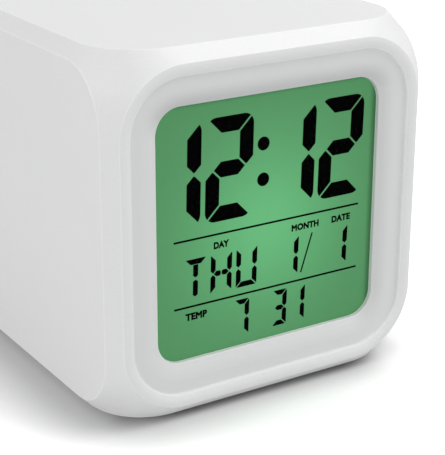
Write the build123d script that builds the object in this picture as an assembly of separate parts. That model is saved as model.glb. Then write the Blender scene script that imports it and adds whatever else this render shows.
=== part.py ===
from build123d import *
import math
import os

# A desk clock in a white translucent cube, with a square display in a stepped front recess.
# Lengths are in millimetres. X runs right as seen from the front, Y from the front to the back,
# Z up. The origin is on the table, under the middle of the cube.

# Shared by every piece
overrun = 1.0  # how far a cutting tool runs past what it cuts
slip_gap = 0.15  # gap around a piece that is laid into a pocket

# Case: a cube whose flat faces have rounded corners and 45 degree bands between them
cube_size = 80.0
wall = 2.0
side_inset = 2.9  # from a side, top or bottom plane in to the crease of the face beside it
end_inset = 3.3  # the same, from the front and the back plane
side_corner_r = 13.0  # corners of the side, top and bottom faces
end_corner_r = 14.8  # corners of the front and back faces

# Front rim and recess, from the rim's crown in to the window
lip_inset = 5.33  # from a side plane to the rim's sharp inner lip
lip_drop = 0.47  # how far the lip lies behind the crown
rim_crown_r = 3.3
rim_runout = 1.3  # how far the crown's arc runs past its top, towards the edge band
step_height = 0.62
step_draft = 0.1
step_foot_r = 0.3
floor_fall = 0.12
bend_r = 7.0
slope_width = 2.5
slope_fall = 1.0
window_inset = 12.0  # from a side plane to the window
window_edge_r = 0.3
window_wall = 0.95

# Display stack, from the window back to the main board
glass_thickness = 0.55
crystal_gap = 0.1
segment_gap = 0.02  # left between a segment and each pane
front_glass_lap = 3.5  # how far the front glass reaches past the window's edge
rear_glass_side_lap = 2.0
rear_glass_end_lap = 1.0
guide_end_gap = 1.4  # from the rear glass's upper and lower edge in to the light guide's
guide_thickness = 2.5
reflector_thickness = 0.2
edge_light_width = 1.8
edge_light_length = 3.5
edge_light_height = 2.4
edge_light_spacing = 24.0
edge_light_gap = 0.3
contact_strip_length = 54.0
contact_strip_width = 2.0
contact_strip_gap = 0.3
frame_gap = 0.2
frame_end_wall = 2.0

# Segments of the display, all placed from its middle
figure_lean = 0.023  # how far a figure leans to the right, in shares of its height
big_width = 11.6
big_height = 22.56
big_stroke = 3.38
big_gap = 0.42
big_corner_r = 2.4
big_middle_z = 12.64
big_x_shares = (-0.318, 0.642)  # middles of the two figure pairs, in shares of half the rear glass
big_pair_pitch = 12.75
colon_r = 1.5
colon_x = -1.05
colon_pitch = 7.9
rule_width = 47.7
rule_x = 0.73
rule_thickness = 0.42
rule_z = -1.44
lower_rule_z = -16.47
letter_width = 5.3
letter_height = 8.9
letter_stroke = 1.2
letter_gap = 0.26
letter_corner_r = 0.5
letter_middle_z = -10.3
letter_x_shares = (-0.596, -0.383, -0.169)
date_x_shares = (0.194, 0.636)
slash_x = 10.7
slash_lean = 2.85
slash_rise = 8.8
slash_thickness = 0.36
small_width = 3.75
small_height = 8.35
small_stroke = 1.12
small_middle_z = -21.85
small_x_shares = (-0.208, 0.123, 0.286)

# Main board and what it carries
board_thickness = 1.6
board_side_gap = 1.6
main_board_chamfer = 9.0  # clears the case's front corners
board_screw_inset = 2.2
board_screw_z = 20.0
boss_r = 2.2
pilot_r = 0.85
pilot_floor = 0.5  # left in front of a blind pilot hole
board_hole_r = 1.1
small_screw_r = 0.8
small_screw_head_r = 1.9
small_screw_head_height = 1.3
small_screw_length = 4.6
case_led_r = 2.5
case_led_flange_r = 2.9
case_led_flange_height = 1.0
case_led_height = 8.6
case_led_x = 23.0
case_led_z = 20.0
chip_drop_r = 7.0
chip_drop_height = 1.9
chip_drop_rise = 3.0
crystal_r = 1.0
crystal_length = 6.0
crystal_x = -14.0
crystal_drop = 9.0
capacitor_r = 2.5
capacitor_height = 7.0
capacitor_x = 15.0
capacitor_drop = 12.0
sensor_r = 2.4
sensor_height = 11.0
sensor_x = 14.0
sensor_rise = 14.0
thermistor_r = 1.3
thermistor_stand = 4.0
thermistor_lead_r = 0.25
thermistor_lead_pitch = 1.4
thermistor_x = -6.0
thermistor_drop = 28.0

# Rear cover: the cube's back face and its edge bands, with a lip that enters the housing
cover_lip_height = 3.0
cover_lip_wall = 1.6
cover_lip_corner = 11.4  # cut off the lip's corners, inside the housing's rounded ones
case_screw_inset = 10.0  # from the side planes to the screws
case_screw_r = 1.4
case_screw_head_r = 2.5
case_screw_head_height = 1.8
case_screw_length = 9.0
case_screw_recess_r = 2.75
case_screw_recess_depth = 2.8
screw_slot_width = 0.7
screw_slot_depth = 0.8
screw_fit = 0.05
pad_r = 3.6
pad_thickness = 2.2  # left under the screw head
case_boss_r = 3.1
case_boss_length = 15.0
rib_thickness = 1.4
rib_step = 2.0  # how far a rib stops short of its boss's end

# Battery well and the cells
cell_count = 4
cell_r = 5.25
cell_length = 44.5
cell_nub_r = 1.9
cell_nub_height = 1.1
cell_edge_r = 0.6
cell_pitch = 10.8
cell_face_gap = 0.3  # between a cell and the door or the floor
well_side_gap = 0.3  # under the lowest cell's place and over the highest's
well_wall = 1.4
well_bottom_z = 8.4
contact_thickness = 0.3
contact_size = 9.0
spring_length = 4.4
spring_wire_r = 0.25
spring_base_r = 3.6
spring_tip_r = 2.4
spring_turns = 3.5
spring_seat_gap = 0.02
tab_width = 2.4
tab_reach = 1.6

# Battery door
door_thickness = 2.0
door_gap = 0.2
door_corner_r = 1.5
tongue_width = 12.0
tongue_rise = 3.6
snap_width = 6.0
snap_reach = 0.4
snap_thickness = 0.7
snap_fit = 0.1
grip_count = 4
grip_width = 7.0
grip_pitch = 0.8
grip_depth = 0.4
pivot_r = 0.5
pivot_fit = 0.05
pivot_reach = 1.0  # how far a pivot stands out of the door's side
pivot_end_gap = 0.1
rim_thickness = 1.2  # of the rim that backs the door's pocket, inside the cover
rim_reach = 2.1  # from the pocket's sides out to the rim's

# Controls in a shallow recess above the door
controls_width = 50.0
controls_rise = 2.5  # from the door's tongue up to the controls
controls_height = 14.4
controls_corner_r = 3.0
controls_depth = 1.6
button_rise = 10.0  # from the foot of the controls recess
button_pitch = 10.6
button_count = 4
button_width = 7.0
button_height = 4.6
button_flange = 0.9
button_flange_thickness = 1.0
button_gap = 0.1
button_crown = 0.2  # how far a button stays below the cube's back plane
button_edge_r = 0.4
button_stem_r = 1.5
switch_x = -14.0
switch_rise = 3.6
switch_travel = 3.0
switch_body_width = 8.6
switch_body_height = 3.8
switch_body_depth = 3.5
knob_stem_width = 2.4
knob_stem_height = 1.6
knob_width = 4.4
knob_height = 3.2
knob_gap = 0.3
knob_lift = 0.1
knob_grip_count = 3
knob_grip_width = 0.4
sound_hole_r = 0.8
sound_hole_pitch = 2.6
sound_x = 14.0

# Key board behind the controls
key_board_width = 50.0
key_board_drop = 1.4  # below the foot of the controls recess
key_board_height = 16.0
key_board_gap = 5.9  # from the board to the inside of the controls recess
key_post_x = 22.7
key_post_inset = 2.1
key_post_r = 2.0
tact_size = 6.0
tact_height = 3.5
plunger_r = 1.7
plunger_fit = 0.05
plunger_height = 1.0
plunger_sink = 1.0
button_travel = 0.5
buzzer_r = 4.1
buzzer_height = 4.2
buzzer_port_r = 1.0
buzzer_port_depth = 1.0
key_screw_length = 5.0

# Ribbon and battery leads
ribbon_width = 7.6
ribbon_thickness = 0.9
ribbon_x = 4.0
lead_r = 0.6
lead_step = 10.0  # unit of the leads' routes
black_lead_inset = 5.65  # from the key board's edge in to the lead's end
red_lead_inset = 6.65
arc_share = 0.45  # an arc's tangent length, in shares of the shorter run beside it

# Places worked out from the sizes above
half = cube_size / 2
mid_z = half
front_y = -half
back_y = half
joint_y = back_y - end_inset
glass_y = front_y + lip_drop + step_height + floor_fall + slope_fall + window_wall
segment_y = glass_y + glass_thickness
window_size = cube_size - 2 * window_inset
front_glass_size = window_size + 2 * front_glass_lap
rear_glass_width = window_size + 2 * rear_glass_side_lap
rear_glass_height = window_size + 2 * rear_glass_end_lap
guide_width = rear_glass_width - 2 * (edge_light_width + 2 * edge_light_gap)
guide_height = rear_glass_height - 2 * guide_end_gap
main_board_width = cube_size - 2 * (wall + board_side_gap)
main_board_height = front_glass_size + 2 * frame_end_wall
board_screw_x = main_board_width / 2 - board_screw_inset
rear_glass_y = segment_y + crystal_gap
guide_y = rear_glass_y + glass_thickness
reflector_y = guide_y + guide_thickness
board_y = reflector_y + reflector_thickness
board_back_y = board_y + board_thickness
cover_inner_y = back_y - wall
controls_y = back_y - controls_depth
controls_inner_y = controls_y - wall
key_board_back_y = controls_inner_y - key_board_gap
key_board_y = key_board_back_y - board_thickness
screw_seat_y = back_y - case_screw_recess_depth
case_boss_y = screw_seat_y - pad_thickness
door_seat_y = back_y - door_thickness
cell_y = door_seat_y - cell_face_gap - cell_r
well_floor_y = cell_y - cell_r - cell_face_gap
well_half = (cell_length + spring_length) / 2 + contact_thickness
well_top_z = well_bottom_z + 2 * well_side_gap + cell_count * cell_pitch
pocket_half = well_half + well_wall
pocket_bottom_z = well_bottom_z - well_wall
pocket_top_z = well_top_z + well_wall
tongue_top_z = pocket_top_z + tongue_rise
pivot_y = back_y - door_thickness / 2
pivot_z = pocket_bottom_z + door_gap + door_thickness / 2
controls_bottom_z = tongue_top_z + controls_rise
button_z = controls_bottom_z + button_rise
switch_z = controls_bottom_z + switch_rise
key_board_bottom_z = controls_bottom_z - key_board_drop
button_xs = [(i - (button_count - 1) / 2) * button_pitch for i in range(button_count)]
corners = [(x, z) for x in (-1, 1) for z in (-1, 1)]


def facing(y):
    """The plane across the clock at y, seen from the front: X to the right, Z up."""
    return Plane(origin=(0, y, 0), x_dir=(1, 0, 0), z_dir=(0, -1, 0))


def slab(sketch, y_front, y_back):
    """A sketch in X and Z, as a solid from y_front to y_back."""
    return extrude(facing(y_back) * sketch, y_back - y_front, dir=(0, -1, 0))


def rod(x, z, radius, y_front, y_back):
    return slab(Pos(x, z) * Circle(radius), y_front, y_back)


def block(x_range, y_range, z_range):
    """A plain box from its ranges along the three axes."""
    ranges = (x_range, y_range, z_range)
    size = [high - low for low, high in ranges]
    middle = [(high + low) / 2 for low, high in ranges]
    return Pos(*middle) * Box(*size)


def around(middle, size):
    return (middle - size / 2, middle + size / 2)


def round_square(reach, radius):
    """A square with rounded corners around the middle of the cube, reach from its middle to a side."""
    return Pos(0, mid_z) * RectangleRounded(2 * reach, 2 * reach, radius)


def panelled_block(reach, inset, corner_r):
    """A block whose six flat faces have rounded corners, with ruled bands and corner facets between.

    Each argument has a value for X, Y and Z. A half arc at a face's corner is paired with the one
    on the next face, and three arc middles make the corner's small flat triangle.
    """

    def arc_point(face, toward, turn, signs):
        other = 3 - face - toward
        place = [0, 0, 0]
        place[face] = reach[face]
        place[toward] = reach[toward] - inset[toward] - corner_r[face] * (1 - math.cos(turn))
        place[other] = reach[other] - inset[other] - corner_r[face] * (1 - math.sin(turn))
        return Vector(*(sign * value for sign, value in zip(signs, place)))

    def half_arc(face, toward, signs):
        turns = (0, math.pi / 8, math.pi / 4)
        return ThreePointArc(*(arc_point(face, toward, turn, signs) for turn in turns)).edge()

    octants = [(x, y, z) for x in (-1, 1) for y in (-1, 1) for z in (-1, 1)]
    pairs = ((0, 1), (1, 2), (2, 0))
    faces = []
    for signs in octants:
        tips = [arc_point(face, (face + 1) % 3, math.pi / 4, signs) for face in range(3)]
        faces.append(Face(Wire.make_polygon(tips)))
        for face, toward in pairs:
            arcs = half_arc(face, toward, signs), half_arc(toward, face, signs)
            faces.append(Face.make_surface_from_curves(*arcs))
    for face in range(3):
        for side in (-1, 1):
            edges = []
            for signs in [octant for octant in octants if octant[face] == side]:
                for toward, other in ((face + 1) % 3, (face + 2) % 3), ((face + 2) % 3, (face + 1) % 3):
                    edges.append(half_arc(face, toward, signs))
                    if signs[other] > 0:
                        far = [-s if axis == other else s for axis, s in enumerate(signs)]
                        ends = arc_point(face, toward, 0, signs), arc_point(face, toward, 0, far)
                        edges.append(Line(*ends).edge())
            faces.append(Face(Wire.combine(edges)[0]))
    for face, toward in pairs:
        for signs in octants:
            if signs[3 - face - toward] > 0:
                far = [-s if axis == 3 - face - toward else s for axis, s in enumerate(signs)]
                rim = [arc_point(face, toward, 0, signs), arc_point(face, toward, 0, far)]
                rim += [arc_point(toward, face, 0, far), arc_point(toward, face, 0, signs)]
                faces.append(Face(Wire.make_polygon(rim)))
    return Solid(Shell(faces))


def cube_outside():
    """The whole outer form of the clock, before the front is hollowed and the back is split off."""
    insets = (side_inset, end_inset, side_inset)
    radii = (side_corner_r, end_corner_r, side_corner_r)
    return Pos(0, 0, mid_z) * panelled_block((half,) * 3, insets, radii)


def front_relief():
    """All that is cut from the front: in front of the crowned rim, the stepped recess, the window."""
    lip = half - lip_inset
    lip_turn = math.acos(1 - lip_drop / rim_crown_r)
    crown = lip + rim_crown_r * math.sin(lip_turn)
    out_turn = math.asin(rim_runout / rim_crown_r)

    def rim(turn):
        return (crown + rim_crown_r * math.sin(turn), rim_crown_r * (1 - math.cos(turn)))

    floor_start = (lip - step_draft, lip_drop + step_height)
    floor_end = (window_size / 2 + slope_width, floor_start[1] + floor_fall)
    edge = (window_size / 2, floor_end[1] + slope_fall)
    sill = (window_size / 2, edge[1] + window_wall + overrun)
    inside = window_size / 2 - overrun
    step = FilletPolyline(
        rim(-lip_turn), floor_start, floor_end, edge, sill, radius=[step_foot_r, bend_r, window_edge_r]
    )
    crest = ThreePointArc(rim(out_turn), (crown, 0), rim(-lip_turn))
    last = rim(out_turn)
    closing = Polyline(sill, (inside, sill[1]), (inside, -overrun), (last[0], -overrun), last)
    profile = make_face([crest, step, closing])
    corner = end_corner_r - (half - side_inset - lip)
    path = (facing(front_y) * round_square(lip, corner)).wire()
    begin = path @ 0
    outward = (path % 0).cross(Vector(0, 1, 0))
    if outward.dot(begin - Vector(0, front_y, mid_z)) < 0:
        outward = -outward
    middle = begin - outward * lip
    across = Plane(origin=middle, x_dir=outward, z_dir=outward.cross(Vector(0, 1, 0)))
    ring = sweep(across * profile, path=path)
    plug_reach = inside + overrun / 2
    plug = slab(round_square(plug_reach, corner - (lip - plug_reach)), front_y - overrun, glass_y + overrun)
    return ring + plug


def housing():
    """The cube's front and its four sides in one moulding, open at the back."""
    reach = half - wall
    side, end = [inset - (2 - math.sqrt(2)) * wall for inset in (side_inset, end_inset)]
    side_r, end_r = [radius - (math.sqrt(2) - 1) * wall for radius in (side_corner_r, end_corner_r)]
    depth = joint_y + end - glass_y
    hollow = panelled_block((reach, depth / 2, reach), (side, end, side), (side_r, end_r, side_r))
    cavity = Pos(0, glass_y + depth / 2, mid_z) * hollow
    body = cube_outside() & block(around(0, cube_size), (front_y, joint_y), (0, cube_size))
    body = body - cavity
    for x, z in corners:
        post = rod(x * board_screw_x, mid_z + z * board_screw_z, boss_r, glass_y - overrun, board_y)
        body += post
    body -= front_relief()
    for x, z in corners:
        place = x * board_screw_x, mid_z + z * board_screw_z
        body -= rod(*place, pilot_r, glass_y + pilot_floor, board_y + overrun)
    screw_reach = half - case_screw_inset
    rib_back_y = joint_y - cover_lip_height - screw_fit - rib_step
    for x, z in corners:
        place = x * screw_reach, mid_z + z * screw_reach
        boss = rod(*place, case_boss_r, case_boss_y - case_boss_length, case_boss_y)
        rib_y = (case_boss_y - case_boss_length, rib_back_y)
        edge = half - wall / 2
        across = sorted((x * screw_reach, x * edge))
        upright = sorted((place[1], mid_z + z * edge))
        boss += block(across, rib_y, around(place[1], rib_thickness))
        boss += block(around(place[0], rib_thickness), rib_y, upright)
        body += boss - rod(*place, case_screw_r + screw_fit, case_boss_y - case_screw_length, back_y)
    return body


def display_character(width, height, stroke, gap, corner_r, shown, split=False):
    """The lit segments of one figure: a round-cornered ring with a middle bar, cut by thin gaps.

    The segments are a to g as on any seven segment figure. A split figure has its middle bar in two
    halves, g and h, and an upper and a lower middle post, i and j.
    """
    ring = RectangleRounded(width, height, corner_r)
    hole_height = (height - 3 * stroke) / 2
    hole_z = (hole_height + stroke) / 2
    for side in (-1, 1):
        ring -= Pos(0, side * hole_z) * Rectangle(width - 2 * stroke, hole_height)
    tip = width / 2 - stroke / 2
    slit = Rectangle(2 * stroke, gap)
    for x in (-1, 1):
        for z in (-1, 1):
            ring -= Pos(x * tip, z * (height / 2 - stroke / 2)) * Rot(0, 0, x * z * 45) * slit
            ring -= Pos(x * tip, 0) * Pos(-x * stroke / 4, z * stroke / 4) * Rot(0, 0, -x * z * 45) * (
                Rectangle(stroke, gap)
            )
        notch = Polygon((0, 0), (x * stroke, stroke), (x * stroke, -stroke), align=None)
        ring -= Pos(x * (tip - gap / 2), 0) * notch
    if split:
        ring -= Rectangle(gap, stroke + gap)
        for z in (-1, 1):
            ring -= Pos(0, z * stroke / 2) * Rot(0, 0, 45) * Rectangle(stroke / 2, stroke / 2)
    places = {
        "a": (0, height / 2 - stroke / 2),
        "b": (tip, height / 4),
        "c": (tip, -height / 4),
        "d": (0, -height / 2 + stroke / 2),
        "e": (-tip, -height / 4),
        "f": (-tip, height / 4),
        "g": (-stroke / 2 if split else 0, 0),
        "h": (width / 4, 0),
    }
    lit = []
    for name in shown:
        if name in places:
            spot = Vector(*places[name], 0)
            lit.append(min(ring.faces(), key=lambda face: (face.center() - spot).length))
    shoulder = stroke / 3
    foot = height / 2 - shoulder
    crest = height / 2 - stroke - gap / 2
    tail = [(-stroke / 2, gap + shoulder), (0, gap), (stroke / 2, gap + shoulder)]
    if "i" in shown:
        lit += Polygon(*tail, (stroke / 2, crest), (-stroke / 2, crest), align=None).faces()
    if "j" in shown:
        end = [(stroke / 2, foot - shoulder), (0, foot), (-stroke / 2, foot - shoulder)]
        lit += (Rot(0, 0, 180) * Polygon(*tail, *end, align=None)).faces()
    lean = Matrix([[1, figure_lean, 0, 0], [0, 1, 0, 0], [0, 0, 1, 0], [0, 0, 0, 1]])
    return [face.transform_geometry(lean) for face in lit]


def segments():
    """Every lit segment: the time, two rules, the weekday, month and date, and the bottom row."""
    share = rear_glass_width / 2
    faces = []

    def put(x, z, lit):
        faces.extend((Pos(x, mid_z + z) * face) for face in lit)

    big = (big_width, big_height, big_stroke, big_gap, big_corner_r)
    for middle_share in big_x_shares:
        middle = middle_share * share
        put(middle - big_pair_pitch, big_middle_z, display_character(*big, "bc"))
        put(middle, big_middle_z, display_character(*big, "abged"))
    for rise in (-1, 1):
        put(colon_x, big_middle_z + rise * colon_pitch / 2, Circle(colon_r).faces())
    for z in (rule_z, lower_rule_z):
        put(rule_x, z, Rectangle(rule_width, rule_thickness).faces())
    letter = (letter_width, letter_height, letter_stroke, letter_gap, letter_corner_r)
    for middle_share, shown in zip(letter_x_shares, ("aij", "bcefgh", "bcdef")):
        lit = display_character(*letter, shown, split=True)
        put(middle_share * share, letter_middle_z, lit)
    for middle_share in date_x_shares:
        put(middle_share * share, letter_middle_z, display_character(*letter, "bc"))
    slash = Polygon(
        (-slash_lean / 2 - slash_thickness / 2, -slash_rise / 2),
        (-slash_lean / 2 + slash_thickness / 2, -slash_rise / 2),
        (slash_lean / 2 + slash_thickness / 2, slash_rise / 2),
        (slash_lean / 2 - slash_thickness / 2, slash_rise / 2),
        align=None,
    )
    put(slash_x, letter_middle_z, slash.faces())
    small = (small_width, small_height, small_stroke, letter_gap, letter_corner_r)
    for middle_share, shown in zip(small_x_shares, ("abc", "abcdg", "bc")):
        put(middle_share * share, small_middle_z, display_character(*small, shown))
    return [slab(face, segment_y + segment_gap, rear_glass_y - segment_gap) for face in faces]


def front_glass():
    reach = front_glass_size / 2
    return block((-reach, reach), (glass_y, segment_y), around(mid_z, front_glass_size))


def rear_glass():
    return block(around(0, rear_glass_width), (rear_glass_y, guide_y), around(mid_z, rear_glass_height))


def light_guide():
    return block(around(0, guide_width), (guide_y, reflector_y), around(mid_z, guide_height))


def reflector():
    return block(around(0, guide_width), (reflector_y, board_y), around(mid_z, guide_height))


def edge_lights():
    """Four small lamps on the main board that shine into the sides of the light guide."""
    middle = guide_width / 2 + edge_light_gap + edge_light_width / 2
    lights = []
    for x, z in corners:
        spot = mid_z + z * edge_light_spacing / 2
        depth = (board_y - edge_light_height, board_y)
        lights.append(block(around(x * middle, edge_light_width), depth, around(spot, edge_light_length)))
    return lights


def contact_strips():
    """The two rubber strips that join the front glass's edge to the main board."""
    strips = []
    for z in (-1, 1):
        near = rear_glass_height / 2 + contact_strip_gap
        span = sorted((mid_z + z * near, mid_z + z * (near + contact_strip_width)))
        strips.append(block(around(0, contact_strip_length), (segment_y, board_y), span))
    return strips


def board_outline():
    """The outline that the display frame and the main board share, with its corners cut off."""
    plain = Pos(0, mid_z) * Rectangle(main_board_width, main_board_height)
    return chamfer(plain.vertices(), main_board_chamfer)


def display_frame():
    """The ring that presses the front glass on to the window's edge, around the rest of the stack."""
    frame = slab(board_outline(), segment_y, board_y)
    opening = rear_glass_width + 2 * frame_gap
    opening_height = rear_glass_height + 2 * frame_gap
    depth = (segment_y - overrun, board_y + overrun)
    frame -= block(around(0, opening), depth, around(mid_z, opening_height))
    slot_height = rear_glass_height + 2 * (contact_strip_gap + contact_strip_width + frame_gap)
    frame -= block(around(0, contact_strip_length + 2 * frame_gap), depth, around(mid_z, slot_height))
    for x, z in corners:
        place = x * board_screw_x, mid_z + z * board_screw_z
        frame -= rod(*place, boss_r + frame_gap, *depth)
    return frame


def small_screw(length):
    """A pan head screw along -Y from its seat at the origin, with a cross in its head."""
    head = Rot(90, 0, 0) * Cylinder(
        small_screw_head_r, small_screw_head_height, align=(Align.CENTER, Align.CENTER, Align.MAX)
    )
    head = fillet(head.edges().group_by(Axis.Y)[-1], small_screw_head_height / 2)
    shank = Rot(90, 0, 0) * Cylinder(small_screw_r, length, align=(Align.CENTER, Align.CENTER, Align.MIN))
    slot_depth = small_screw_head_height / 2
    slot = Box(small_screw_head_r, slot_depth, small_screw_r / 2)
    slot += Box(small_screw_r / 2, slot_depth, small_screw_head_r)
    return head + shank - Pos(0, small_screw_head_height - slot_depth / 2, 0) * slot


def main_board():
    board = slab(board_outline(), board_y, board_back_y)
    for x, z in corners:
        place = x * board_screw_x, mid_z + z * board_screw_z
        board -= rod(*place, board_hole_r, board_y - overrun, board_back_y + overrun)
    return board


def board_screws():
    screw = small_screw(small_screw_length)
    return [Pos(x * board_screw_x, board_back_y, mid_z + z * board_screw_z) * screw for x, z in corners]


def case_leds():
    """Round-nosed lamps that stand on the back of the main board and light the cube from inside."""
    shoulder = case_led_height - case_led_r
    base = Polyline((0, 0), (case_led_flange_r, 0), (case_led_flange_r, case_led_flange_height))
    side = Polyline((case_led_flange_r, case_led_flange_height), (case_led_r, case_led_flange_height))
    side += Line((case_led_r, case_led_flange_height), (case_led_r, shoulder))
    nose = CenterArc((0, shoulder), case_led_r, 0, 90)
    axis = Line((0, case_led_height), (0, 0))
    lamp = revolve(make_face([base, side, nose, axis]), Axis.Y)
    return [Pos(x * case_led_x, board_back_y, mid_z + z * case_led_z) * lamp for x, z in corners]


def chip_drop():
    """A domed drop of black resin over the clock chip."""
    ball_r = (chip_drop_r**2 + chip_drop_height**2) / (2 * chip_drop_height)
    dome = RadiusArc((chip_drop_r, 0), (0, chip_drop_height), -ball_r)
    base = Polyline((0, chip_drop_height), (0, 0), (chip_drop_r, 0))
    return Pos(0, board_back_y, mid_z + chip_drop_rise) * revolve(make_face([dome, base]), Axis.Y)


def crystal():
    """The time crystal's can, lying against the board on its two wires."""
    z = mid_z - crystal_drop
    can = Pos(crystal_x, board_back_y + crystal_r, z) * Rot(0, 90, 0) * Cylinder(crystal_r, crystal_length)
    can = fillet(can.edges(), crystal_r / 4)
    foot = block(
        around(crystal_x, crystal_length / 2), (board_back_y, board_back_y + crystal_r), around(z, crystal_r)
    )
    return can + foot


def capacitor():
    z = mid_z - capacitor_drop
    can = rod(capacitor_x, z, capacitor_r, board_back_y, board_back_y + capacitor_height)
    return fillet(can.edges().group_by(Axis.Y)[-1], capacitor_r / 8)


def tap_sensor():
    """The small can whose spring closes a contact when the cube is tapped."""
    can = rod(sensor_x, mid_z + sensor_rise, sensor_r, board_back_y, board_back_y + sensor_height)
    return fillet(can.edges().group_by(Axis.Y)[-1], sensor_r / 8)


def thermistor():
    """The temperature bead on its two wires."""
    z = mid_z - thermistor_drop
    bead = Pos(thermistor_x, board_back_y + thermistor_stand, z) * Sphere(thermistor_r)
    for side in (-1, 1):
        x = thermistor_x + side * thermistor_lead_pitch / 2
        bead += rod(x, z, thermistor_lead_r, board_back_y, board_back_y + thermistor_stand)
    return bead


def case_screw_places():
    reach = half - case_screw_inset
    return [(x * reach, mid_z + z * reach) for x, z in corners]


def sound_hole_places():
    """One hole with a ring of six around it."""
    z = switch_z
    ring = [math.radians(60 * i) for i in range(6)]
    places = [(sound_x, z)]
    places += [(sound_x + sound_hole_pitch * math.cos(a), z + sound_hole_pitch * math.sin(a)) for a in ring]
    return places


def tab_slots():
    """The slots through the battery well's side for the two terminals' tabs."""
    across = (-pocket_half - overrun, -well_half + overrun)
    depth = around(cell_y, contact_thickness + 2 * slip_gap)
    return [block(across, depth, around(z, tab_width + 2 * slip_gap)) for z in (cell_zs()[0], cell_zs()[-1])]


def pivot_rod(radius, reach):
    """A round bar along the door's hinge axis, from side to side."""
    return Pos(0, pivot_y, pivot_z) * Rot(0, 90, 0) * Cylinder(radius, 2 * reach)


def cell_zs():
    first = well_bottom_z + well_side_gap + cell_pitch / 2
    return [first + i * cell_pitch for i in range(cell_count)]


def rear_cover():
    """The cube's back: face, edge bands and joint lip, with the battery well moulded in."""
    cap = cube_outside() & block(around(0, cube_size), (joint_y, back_y), (0, cube_size))
    lip_reach = half - wall - slip_gap
    hollow_reach = lip_reach - cover_lip_wall
    hollow_corner = cover_lip_corner - (2 - math.sqrt(2)) * cover_lip_wall
    lip_square = Pos(0, mid_z) * Rectangle(2 * lip_reach, 2 * lip_reach)
    hollow_square = Pos(0, mid_z) * Rectangle(2 * hollow_reach, 2 * hollow_reach)
    lip_outline = chamfer(lip_square.vertices(), cover_lip_corner)
    hollow_outline = chamfer(hollow_square.vertices(), hollow_corner)
    cap += slab(lip_outline, joint_y - cover_lip_height, joint_y)
    cap -= slab(hollow_outline, joint_y - cover_lip_height - overrun, cover_inner_y)
    for place in case_screw_places():
        cap -= rod(*place, case_boss_r + slip_gap, joint_y - cover_lip_height - overrun, case_boss_y)
        cap += rod(*place, pad_r, case_boss_y, cover_inner_y)
    pad_width = controls_width + 2 * wall
    pad_z = (pocket_top_z, controls_bottom_z + controls_height + wall)
    cap += block(around(0, pad_width), (controls_inner_y, cover_inner_y), pad_z)
    well_z = (pocket_bottom_z, pocket_top_z)
    cap += block(around(0, 2 * pocket_half), (well_floor_y - well_wall, cover_inner_y), well_z)
    for side in (-1, 1):
        for inset in (key_post_inset, key_board_height - key_post_inset):
            place = side * key_post_x, key_board_bottom_z + inset
            cap += rod(*place, key_post_r, key_board_back_y, controls_inner_y)
            cap -= rod(*place, pilot_r, key_board_back_y - overrun, key_board_back_y + key_screw_length)
    rim_z = (pocket_bottom_z - rim_reach, pocket_top_z + rim_reach)
    rim_depth = (cover_inner_y - rim_thickness, cover_inner_y)
    cap += block(around(0, 2 * (pocket_half + rim_reach)), rim_depth, rim_z)
    cap -= block((-well_half, well_half), (well_floor_y, back_y), (well_bottom_z, well_top_z))
    cap -= door_pocket()
    cap -= pivot_rod(pivot_r + pivot_fit, pocket_half - door_gap + pivot_reach + pivot_end_gap)
    for slot in tab_slots():
        cap -= slot
    for place in case_screw_places():
        cap -= rod(*place, case_screw_recess_r, screw_seat_y, back_y + overrun)
        cap -= rod(*place, case_screw_r + screw_fit, case_boss_y - overrun, back_y)
    controls = Pos(0, controls_bottom_z + controls_height / 2) * RectangleRounded(
        controls_width, controls_height, controls_corner_r
    )
    cap -= slab(controls, controls_y, back_y + overrun)
    through = (controls_inner_y - overrun, back_y)
    for x in button_xs:
        hole = SlotOverall(button_width + 2 * button_gap, button_height + 2 * button_gap)
        cap -= slab(Pos(x, button_z) * hole, *through)
    slot = Rectangle(knob_stem_width + switch_travel + 2 * knob_gap, knob_stem_height + 2 * knob_gap)
    cap -= slab(Pos(switch_x, switch_z) * slot, *through)
    for place in sound_hole_places():
        cap -= rod(*place, sound_hole_r, *through)
    return cap


def door_outline(gap):
    """The door's outline, gap inside its pocket's, with a square foot, round shoulders and a tongue."""
    width = 2 * (pocket_half - gap)
    height = pocket_top_z - pocket_bottom_z - 2 * gap
    middle = (pocket_top_z + pocket_bottom_z) / 2
    outline = Pos(0, middle) * RectangleRounded(width, height, door_corner_r - gap)
    outline += Pos(0, middle - height / 4) * Rectangle(width, height / 2)
    tongue_height = tongue_rise + 2 * door_corner_r
    tongue = RectangleRounded(tongue_width - 2 * gap, tongue_height, door_corner_r - gap)
    return outline + Pos(0, tongue_top_z - gap - tongue_height / 2) * tongue


def door_pocket():
    """The space that the door lies in: its plate and its tongue, with the groove for the snap."""
    room = slab(door_outline(0), door_seat_y, back_y + overrun)
    y, z = snap_place()
    groove = block(
        around(0, snap_width + 2 * snap_fit),
        (y - snap_thickness / 2 - snap_fit, y + snap_thickness / 2 + snap_fit),
        (tongue_top_z - overrun, z + snap_fit),
    )
    return room + groove


def snap_place():
    """Depth of the snap's middle, and the height of its top."""
    return (back_y + door_seat_y) / 2, tongue_top_z - door_gap + snap_reach


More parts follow.
